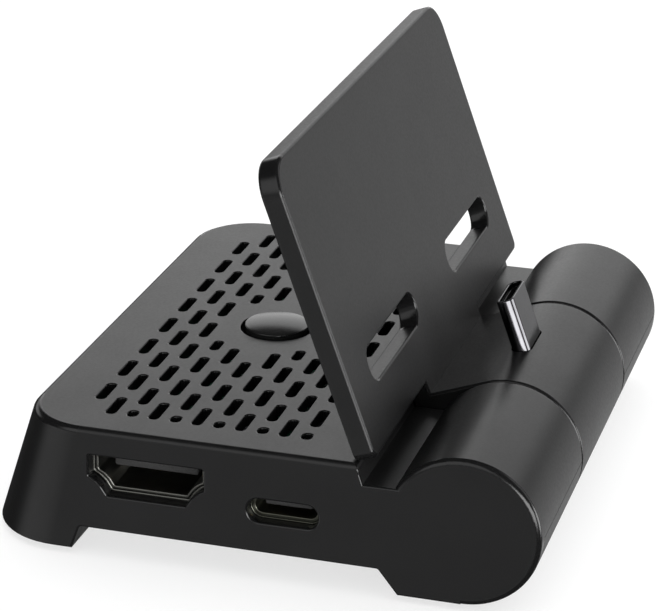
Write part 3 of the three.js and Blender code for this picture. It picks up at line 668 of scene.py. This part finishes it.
def floor_material():
    n = Nodes("pale_floor")
    tone = n.mix(n.spread(n.noise(60, 3), 0, 1), (0.3, 0.3, 0.3), (0.31, 0.31, 0.31))
    n.feed(n.shader.inputs["Base Color"], tone)
    n.shader.inputs["Emission Color"].default_value = (1, 1, 1, 1)
    n.shader.inputs["Emission Strength"].default_value = 0.7
    n.feed(n.shader.inputs["Roughness"], 0.9)
    n.shader.inputs["Specular IOR Level"].default_value = 0.1
    return n.material


def backdrop_material():
    n = Nodes("pale_backdrop")
    n.shader.inputs["Base Color"].default_value = (0, 0, 0, 1)
    n.shader.inputs["Emission Color"].default_value = (1, 1, 1, 1)
    n.shader.inputs["Emission Strength"].default_value = 1
    return n.material


# The stage is in metres
FLOOR_R, FLOOR_DEPTH = 5, 0.02
WALL_R, WALL_FOOT, WALL_TOP = 4.8, -0.5, 3


def make_stage():
    """A floor, and a wall far round it that only the camera sees."""
    sheet = rod(FLOOR_R, -FLOOR_DEPTH, 0, sides=96)
    wall = rod(WALL_R, WALL_FOOT, WALL_TOP, sides=96)
    wall.visible_diffuse = False
    pieces = [(sheet, "floor", floor_material()), (wall, "backdrop", backdrop_material())]
    for piece, name, material in pieces:
        piece.name = name
        piece.data.materials.append(material)
        piece.visible_glossy = False
        piece.visible_shadow = False


make_stage()

# ---------------------------------------------------------------- base: outer form


def base_layer(z, inset=0):
    """The base's outline at one height."""
    share = (z - FOOT_LEVEL) / (BASE_TOP - FOOT_LEVEL)
    back = BACK_AT_FOOT + (BACK_AT_TOP - BACK_AT_FOOT) * share - inset
    radius = CORNER_AT_FOOT + (CORNER_AT_TOP - CORNER_AT_FOOT) * share - inset
    half = HALF - inset
    outline = [
        (half, 0),
        *arc(half - radius, back - radius, radius, 0, 1, 14),
        *arc(radius - half, back - radius, radius, 1, 2, 14),
        (-half, 0),
    ]
    return [(x, y, z) for x, y in outline]


def base_block():
    levels = rounded_levels(FOOT_LEVEL, BASE_TOP, RIM_R, EDGE_R, 5)
    return loft([base_layer(z, -grow) for z, grow in levels])


def across(outline, rim):
    """Cutter along the whole base, which leaves rounded rims where it has a rim radius."""
    if rim:
        return prism(outline, "x", flared_levels(-HALF, HALF, rim, rim))
    return prism(outline, "x", plain_levels(-HALF - 1, HALF + 1))


def groove(grow=0, rim=RIM_R):
    """Cutter for the groove behind the barrels."""
    edge, under_edge = GROOVE_EDGE + grow, BASE_TOP - GROOVE_EDGE_R
    return across([
        (GROOVE_FRONT, GROOVE_FLOOR - grow),
        (GROOVE_END + grow, GROOVE_FLOOR - grow),
        (GROOVE_END + GROOVE_SLOPE + grow, under_edge),
        *arc(edge, under_edge, GROOVE_EDGE_R, 2, 1, 6),
        (edge, FAR),
        (GROOVE_FRONT, FAR),
    ], rim)


def recess(grow=0, rim=RIM_R):
    """Cutter for the hollow under the base."""
    below = FOOT_LEVEL - 1
    soft = 0.5 if rim else 0
    outline = softened([
        (52.5 + grow, below, 0),
        (52.1 + grow, FOOT_LEVEL, 0),
        (50.9 + grow, RECESS_TOP + grow, soft),
        (10.8 - grow, RECESS_TOP + grow, soft),
        (8.2 - grow, FOOT_LEVEL, 0),
        (7.4 - grow, below, 0),
    ])
    return across(outline, rim)


def barrel(side):
    profile = round_ends(BARREL_R, DRUM_GAP_HALF, HALF, SEAM_R, EDGE_R, 6)
    solid = lathe(profile, 144, "x")
    if side < 0:
        turned(solid, Matrix.Rotation(math.pi, 4, "Z"))
    return cut(solid, box(-HALF - 1, HALF + 1, -FAR, FAR, -FAR, FOOT_LEVEL))


def drum_space(half, grow=0):
    """Cutter for the space that the hinge's drum turns in."""
    foot, top = DRUM_WALL_FOOT[0] + grow, GROOVE_EDGE + grow
    return prism([
        (-FAR, -FAR),
        (foot, -FAR),
        (foot, DRUM_WALL_FOOT[1]),
        (top, BASE_TOP),
        (top, FAR),
        (-FAR, FAR),
    ], "x", plain_levels(-half, half))


def plug_space(grow=0):
    """Cutter for the space that the plug swings through."""
    radius, top, half = PLUG_SWEEP_R + grow, PLUG_SWEEP_TOP + grow, PLUG_SWEEP_HALF + grow
    end = math.asin(top / radius) / (math.pi / 2)
    outline = [(0, top), *arc(0, 0, radius, -1, end, 24)]
    return prism(outline, "x", plain_levels(-half, half))


def outer_form():
    block = cut(base_block(), groove())
    form = join(block, barrel(-1), barrel(1))
    return cut(form, recess(), drum_space(DRUM_GAP_HALF), plug_space())


def inner_space():
    """Cutter that makes the base hollow."""
    room = loft([base_layer(FOOT_LEVEL + WALL, SIDE_WALL), base_layer(ROOF, SIDE_WALL)])
    room = cut(room, groove(WALL, 0), recess(WALL, 0))
    near, far = DRUM_GAP_HALF + WALL, HALF - SIDE_WALL
    for low, high in ((near, far), (-far, -near)):
        bore = rod(BARREL_R - WALL, low, high, "x")
        room = join(room, cut(bore, box(-HALF, HALF, -FAR, FAR, -FAR, FOOT_LEVEL + WALL)))
    return cut(room, drum_space(DRUM_GAP_HALF + WALL, WALL), plug_space(WALL))


def cover_zone(grow=0):
    """The part of the base's skin that belongs to the bottom cover."""
    inset = SIDE_WALL + FIT_GAP - grow
    zone = loft([base_layer(FOOT_LEVEL - 2, inset), base_layer(FLOOR_TOP + grow, inset)])
    reach = HALF - inset
    return join(zone, box(-reach, reach, -BARREL_R - 2, COVER_STEP + grow, FOOT_LEVEL - 2, grow))


# ---------------------------------------------------------------- base: openings

VENT_LENGTH, VENT_WIDTH, VENT_PITCH_X, VENT_PITCH_Y = 5.2, 1.3, 8, 2.94
VENT_ROWS, VENT_FAR_ROW, VENT_END = 11, 51.35, 34.6
VENT_RIM = 0.2
VENT_SHORTEST, VENT_END_SLOT = 2, 1.8
BUTTON_ROW, BUTTON_CLEAR_R = 5, 9.4
HDMI_Y, USB_C_Y, USB_A_Y = 41.6, 23.3, 34
USB_C_Z = -0.75


def vent_spans(row, y):
    """Slots of one row to the right of the middle, as (from, to) along X."""
    odd = row % 2 == 1
    clear = math.sqrt(BUTTON_CLEAR_R**2 - (y - BUTTON_Y) ** 2) if abs(row - BUTTON_ROW) <= 2 else 0
    spans = []
    x = VENT_PITCH_X if odd else VENT_PITCH_X / 2
    while x < VENT_END:
        start, end = max(x - VENT_LENGTH / 2, clear), x + VENT_LENGTH / 2
        if end - start > VENT_SHORTEST and end <= VENT_END + 1e-6:
            spans.append((start, end))
        x += VENT_PITCH_X
    if not odd and row > 0:
        spans.append((VENT_END - VENT_END_SLOT, VENT_END))
    middle = [(-VENT_LENGTH / 2, VENT_LENGTH / 2)] if odd and not clear else []
    return spans + [(-end, -start) for start, end in spans] + middle


def vent_slots():
    levels = flared_levels(ROOF - 1, BASE_TOP, 0, VENT_RIM, 3)
    slots = []
    for row in range(VENT_ROWS):
        y = VENT_FAR_ROW - row * VENT_PITCH_Y
        for start, end in vent_spans(row, y):
            centre, length = (start + end) / 2, end - start
            outline = rounded_rect(centre, y, length, VENT_WIDTH, VENT_WIDTH / 2 - 0.01, 5)
            slots.append(prism(outline, "z", levels))
    return together(slots)


def hdmi_outline(inset=0):
    """The socket's outline, whose lower corners are cut off by hollow curves."""
    half, top, low = 7.8 - inset, 3.85 - inset, inset - 1.65
    knee = 0.9 + inset * 0.4
    foot = 5.3 - inset * 0.5
    run, drop = half - foot, knee - low
    right = [
        (foot, low, 0.3),
        (half - 0.69 * run, knee - 0.5 * drop, 2),
        (half - 0.33 * run, knee - 0.17 * drop, 2),
        (half, knee, 0.3),
        (half, top, 0.3),
    ]
    left = [(-y, z, radius) for y, z, radius in right[::-1]]
    return softened([(HDMI_Y + y, z, radius) for y, z, radius in right + left], 4)


def usb_c_outline(inset=0):
    height = 3.3 - 2 * inset
    return rounded_rect(USB_C_Y, USB_C_Z, 9.4 - 2 * inset, height, height / 2 - 0.05, 10)


def usb_a_outline(inset=0):
    return rounded_rect(USB_A_Y, 1.05, 13.7 - 2 * inset, 6.3 - 2 * inset, 0.5, 5)


def port_cuts():
    depth = SIDE_WALL + 1
    near = flared_levels(-HALF, -HALF + depth, RIM_R, 0)
    far = flared_levels(HALF - depth, HALF, 0, RIM_R)
    return together([
        prism(hdmi_outline(), "x", near),
        prism(usb_c_outline(), "x", near),
        prism(usb_a_outline(), "x", far),
    ])


def post(radius, low, high, x, y):
    return rod(radius, low, high, "z", (x, y), 24)


def top_bosses():
    posts = []
    for x, y in COVER_SCREWS:
        under_barrel = y < BARREL_R
        foot = SHELL_BOSS_END if under_barrel else FLOOR_TOP + FIT_GAP
        posts.append(post(BOSS_R, foot, (BARREL_R - WALL if under_barrel else ROOF) + 0.4, x, y))
    posts += [post(BOSS_R, BOARD_TOP + 0.3, ROOF + 0.4, x, y) for x, y in BOARD_SCREWS]
    return together(posts)


def screw_bores():
    bores = [post(SCREW_BORE_R, -8, 3 if y < BARREL_R else 2, x, y) for x, y in COVER_SCREWS]
    return together(bores + [post(SCREW_BORE_R, -3, 3, x, y) for x, y in BOARD_SCREWS])


def hinge_holes():
    wall_end = DRUM_GAP_HALF + WALL + 0.5
    return together([
        rod(SHAFT_HOLE_R, -wall_end, -DRUM_HALF + 1, "x"),
        rod(TUBE_HOLE_R, DRUM_HALF - 1, wall_end, "x"),
    ])


def bracket_bores():
    near, far = DRUM_GAP_HALF + 0.4, DRUM_GAP_HALF + WALL + 1
    spans = [(near, far), (-far, -near)]
    return together([
        rod(SMALL_BORE_R, *span, "x", (y, 1.6), 24) for span in spans for y in (-4.9, 4.9)
    ])


def button_hole():
    outline = arc(0, BUTTON_Y, 5.1, 0, 4, 96)[:-1]
    return prism(outline, "z", flared_levels(ROOF - 1, BASE_TOP, 0, 0.12))


# The middle of each foot pad along X and Y, and its size along X and Y
PADS = {
    "front_foot_pad_left": (-22.5, 1.9, 12, 8.2),
    "front_foot_pad_right": (22.5, 1.9, 12, 8.2),
    "rear_foot_pad_left": (-14.5, 57.6, 20, 8),
    "rear_foot_pad_right": (14.5, 57.6, 20, 8),
}
PAD_PROUD, PAD_SUNK = 0.9, 0.3
POCKET_GROW, POCKET_DEPTH = 0.4, 0.4


def make_base():
    skin = cut(outer_form(), inner_space())
    cover = keep(copied(skin), cover_zone())
    top = cut(join(skin, top_bosses()), cover_zone(PARTING_GAP))
    top = cut(top, port_cuts(), vent_slots(), screw_bores(), hinge_holes(), bracket_bores())
    top = cut(top, button_hole())
    place(top, "top_shell_moulding", "base", looks["shell"], ["top_shell"])

    bosses = []
    for x, y in COVER_SCREWS:
        end = COVER_BOSS_END if y < BARREL_R else FLOOR_TOP
        bosses.append(post(COVER_BOSS_R, FOOT_LEVEL, end, x, y))
    cover = join(cover, together(bosses))
    for x, y in COVER_SCREWS:
        seat = arc(x, y, SEAT_R, 0, 4, 32)[:-1]
        levels = flared_levels(FOOT_LEVEL, FOOT_LEVEL + SEAT_DEPTH, RIM_R, 0)
        cover = cut(cover, prism(seat, "z", levels), post(SCREW_CLEAR_R, FOOT_LEVEL, 0, x, y))
    pockets = []
    for x, y, length, depth in PADS.values():
        outline = rounded_rect(x, y, length + POCKET_GROW, depth + POCKET_GROW, 1.7)
        levels = flared_levels(FOOT_LEVEL, FOOT_LEVEL + POCKET_DEPTH, 0.15, 0)
        pockets.append(prism(outline, "z", levels))
    cover = cut(cover, together(pockets), hinge_holes(), bracket_bores())
    place(cover, "bottom_cover_moulding", "base", looks["shell"], ["bottom_cover"])


def make_pads():
    for name, (x, y, length, depth) in PADS.items():
        outline = rounded_rect(x, y, length, depth, 1.5)
        levels = rounded_levels(FOOT_LEVEL - PAD_PROUD, FOOT_LEVEL + PAD_SUNK, 0.25, 0)
        place(prism(outline, "z", levels), name + "_rubber", "base", looks["rubber"], [name])


make_base()
make_pads()

# ---------------------------------------------------------------- button


def make_button():
    top, rise, rim = BASE_TOP + BUTTON_PROUD, 0.42, 0.16
    edge = BUTTON_R - rim
    profile = [
        (0, 3.1), (1.4, 3.1), (1.5, 3.2), (1.5, 4.2), (6.1, 4.2), (6.2, 4.3),
        (6.2, ROOF - 0.4), (6.1, ROOF - 0.3), (BUTTON_R, ROOF - 0.3),
    ]
    profile += arc(edge, top - rise - rim, rim, 0, 0.88, 6)
    for i in range(1, 16):
        r = edge * (1 - i / 16)
        profile.append((r, top - rise * (r / edge) ** 2))
    profile.append((0, top))
    solid = lathe(profile, 96, "z", (0, BUTTON_Y))
    place(solid, "mode_button_cap", "button", looks["button"], ["mode_button"])


make_button()

# ---------------------------------------------------------------- sockets


# How far out the shells' mouths are, and how much narrower than its cut-out a shell is behind its
# flange. Then the flange's depth, the back's thickness and half the width of the line in the flange.
FACE = 38.15
SOCKET_FIT = 0.3
FLANGE, SHEET, LINE_HALF = 0.9, 0.5, 0.04
# Where the tongues start, at the shells' backs
HDMI_ROOT, USB_C_ROOT, USB_A_ROOT = -28.15, -31.55, 25.95


def tube(outline, low, high, mouth, fit=0.2, skin=0.5, rim=0.1):
    """A drawn shell with a closed back and a wide, folded mouth that has a line between two lips."""
    fold = fit + skin / 2
    depth = skin / 2
    if mouth == "low":
        flange = rounded_levels(low, low + FLANGE, rim, rim)
        body = plain_levels(low + SHEET, high)
        bore = flared_levels(low, high - SHEET, rim, 0)
        line = flared_levels(low, low + depth, rim, 0)
        core = rounded_levels(low - 0.01, low + depth + 1, rim, 0)
    else:
        flange = rounded_levels(high - FLANGE, high, rim, rim)
        body = plain_levels(low, high - SHEET)
        bore = flared_levels(low + SHEET, high, 0, rim)
        line = flared_levels(high - depth, high, 0, rim)
        core = rounded_levels(high - depth - 1, high + 0.01, 0, rim)
    shell = join(prism(outline(fit), "x", flange), prism(outline(SOCKET_FIT), "x", body))
    ring = cut(prism(outline(fold - LINE_HALF), "x", line), prism(outline(fold + LINE_HALF), "x", core))
    return cut(shell, prism(outline(fit + skin), "x", bore), ring)


def tongue(low, high, y, z, length, height):
    outline = rounded_rect(y, z, length, height, 0.3, 3)
    return prism(outline, "x", rounded_levels(low, high, 0.15, 0.15, 3))


def contact_row(name, low, high, y, z, count, pitch, width):
    """A row of flat contacts that stand a little out of a tongue's face."""
    strips = []
    for i in range(count):
        middle = y + (i - (count - 1) / 2) * pitch
        outline = rounded_rect(middle, z, width, 0.08, 0.03, 2)
        strips.append(prism(outline, "x", rounded_levels(low, high, 0.03, 0.03, 2)))
    place(together(strips), name, "base", looks["contact"])


def make_sockets():
    shell = tube(hdmi_outline, -FACE, -FACE + 10.6, "low", -0.2, 0.95, 0.18)
    place(shell, "hdmi_shell", "base", looks["socket"], ["hdmi_socket_shell"])
    place(tongue(HDMI_ROOT - 7.6, HDMI_ROOT, HDMI_Y, 1.5, 11.4, 1.2), "hdmi_tongue", "base",
          looks["insulator"], ["hdmi_socket_tongue"])
    contact_row("hdmi_contacts_upper", -35.4, -30, HDMI_Y, 2.13, 10, 1.0, 0.45)
    contact_row("hdmi_contacts_lower", -35.4, -30, HDMI_Y, 0.87, 9, 1.0, 0.45)
    shell = tube(usb_c_outline, -FACE, -FACE + 7.2, "low", -0.4, 1, 0.1)
    place(shell, "usb_c_shell", "base", looks["dull_socket"], ["usb_c_socket_shell"])
    place(tongue(USB_C_ROOT - 5.4, USB_C_ROOT, USB_C_Y, USB_C_Z, 6.4, 0.7), "usb_c_tongue", "base",
          looks["insulator"], ["usb_c_socket_tongue"])
    contact_row("usb_c_contacts_upper", -36.6, -33, USB_C_Y, -0.38, 12, 0.5, 0.25)
    contact_row("usb_c_contacts_lower", -36.6, -33, USB_C_Y, -1.12, 12, 0.5, 0.25)
    shell = tube(usb_a_outline, FACE - 13.2, FACE, "high")
    place(shell, "usb_a_shell", "base", looks["socket"], ["usb_a_socket_shell"])
    place(tongue(USB_A_ROOT, USB_A_ROOT + 9.6, USB_A_Y, 1.95, 11, 1.8), "usb_a_tongue", "base",
          looks["insulator"], ["usb_a_socket_tongue"])
    contact_row("usb_a_contacts", 28, 35.2, USB_A_Y, 1.02, 4, 2.2, 1.0)


make_sockets()

# ---------------------------------------------------------------- cradle


def plate():
    high, low = PLATE_HIGH - PLATE_HIGH_R, PLATE_LOW + PLATE_LOW_R
    high_x, low_x = PLATE_WIDTH / 2 - PLATE_HIGH_R, PLATE_WIDTH / 2 - PLATE_LOW_R
    outline = [
        *arc(low_x, low, PLATE_LOW_R, -1, 0, 8),
        *arc(high_x, high, PLATE_HIGH_R, 0, 1, 12),
        *arc(-high_x, high, PLATE_HIGH_R, 1, 2, 12),
        *arc(-low_x, low, PLATE_LOW_R, 2, 3, 8),
    ]
    return prism(outline, "y", rounded_levels(PLATE_FRONT, PLATE_BACK, PLATE_EDGE, PLATE_EDGE, 5))


def windows():
    levels = flared_levels(PLATE_FRONT, PLATE_BACK, 0.35, 0.35)
    return together([prism(rounded_rect(x, 20.8, 22.4, 4.5, 2.1), "y", levels) for x in (-20, 20)])


def web():
    """The block that joins the drum to the plate."""
    in_plate = PLATE_LOW + 1.5
    outline = [
        (0, 0), (8.95, -4.2), (10.15, -1.2), (PLATE_BACK, 3.2),
        (PLATE_BACK, in_plate), (PLATE_FRONT, in_plate), (PLATE_FRONT, DRUM_R), (0, DRUM_R),
    ]
    return prism(outline, "x", rounded_levels(-DRUM_HALF, DRUM_HALF, SEAM_R, SEAM_R))


def drum():
    return lathe(round_ends(DRUM_R, -DRUM_HALF, DRUM_HALF, SEAM_R, SEAM_R), 144, "x")


def beyond_chord(depth, low):
    """What lies past a flat across the drum and below a level, where the lid is."""
    slab = box(-DRUM_HALF - 1, DRUM_HALF + 1, depth, FAR, -FAR, FAR)
    turned(slab, Matrix.Rotation(LID_ANGLE, 4, "X"))
    return cut(slab, box(-FAR, FAR, 0, FAR, low, FAR))


def lid_posts(radius, low, high):
    """Round cutters square to the lid, one for each of its screws."""
    posts = [post(radius, low, high, x, 0) for x in (-LID_SCREW_X, LID_SCREW_X)]
    return turned(together(posts), Matrix.Rotation(LID_ANGLE - math.pi / 2, 4, "X"))


PLUG_Y, PLUG_LENGTH, PLUG_THICK = -2.3, 8.3, 2.5
PLUG_FOOT, PLUG_TOP, INSERT_TOP = 5.4, 17, 16.4


def plug_outline(inset=0):
    thick = PLUG_THICK - 2 * inset
    return rounded_rect(0, PLUG_Y, PLUG_LENGTH - 2 * inset, thick, thick / 2 - 0.02, 10)


def make_cradle():
    body = join(drum(), web())
    bores = [
        rod(8.2, -11, 11, "x"),
        rod(SHAFT_HOLE_R, -DRUM_HALF - 1, -10, "x"),
        rod(TUBE_HOLE_R, 10, DRUM_HALF + 1, "x"),
    ]
    body = cut(body, beyond_chord(7.58, -4.2), *bores, lid_posts(SMALL_BORE_R, 4, 8.58))
    body = join(body, plate())
    body = cut(body, windows())
    body = cut(body, prism(plug_outline(-0.15), "z", plain_levels(5, DRUM_R + 1)))
    place(body, "cradle_moulding", "cradle", looks["cradle"], ["cradle"])

    lid = keep(drum(), beyond_chord(7.83, -4.45))
    lid = cut(lid, lid_posts(SCREW_BORE_R, 6.6, 10.9), lid_posts(1.5, 8.8, 10.9))
    place(lid, "drum_lid_moulding", "cradle", looks["cradle"], ["drum_lid"])


def make_plug():
    shell = prism(plug_outline(), "z", rounded_levels(PLUG_FOOT, PLUG_TOP, 0, 0.14))
    bore = prism(plug_outline(0.42), "z", flared_levels(5.9, PLUG_TOP, 0, 0.12))
    place(cut(shell, bore), "plug_tube", "cradle", looks["plug"], ["plug_shell"])
    insert = prism(plug_outline(0.5), "z", rounded_levels(6.1, INSERT_TOP, 0, 0.1))
    mouth = prism(rounded_rect(0, PLUG_Y, 7, 1.24, 0.55), "z", flared_levels(9.1, INSERT_TOP, 0, 0.06))
    place(cut(insert, mouth), "plug_mouth", "cradle", looks["shell"], ["plug_insert"])


make_cradle()
make_plug()

# ---------------------------------------------------------------- CAD nodes that stay

STAY = {
    "board": ["main_board", "plug_board"],
    "screw": ["cover_screw_1", "cover_screw_2", "cover_screw_3", "cover_screw_4",
              "board_screw_1", "board_screw_2", "board_screw_3",
              "hinge_screw_left_1", "hinge_screw_left_2", "hinge_screw_right_1", "hinge_screw_right_2",
              "lid_screw_left", "lid_screw_right"],
    "chip": ["video_chip", "power_chip", "hub_chip", "switch_body"],
    "ferrite": ["power_inductor"],
    "can": ["crystal", "capacitor_left", "capacitor_right"],
    "housing": ["board_connector", "plug_board_connector"],
    "insulator": ["switch_plunger"],
    "steel": ["hinge_bracket_left", "hinge_bracket_right", "hinge_shaft", "hinge_tube", "friction_clip"],
    "lead": ["hinge_lead"],
}

for look, nodes in STAY.items():
    for node in nodes:
        frame["nodes"][node].data.materials.clear()
        frame["nodes"][node].data.materials.append(looks[look])

bpy.context.view_layer.update()
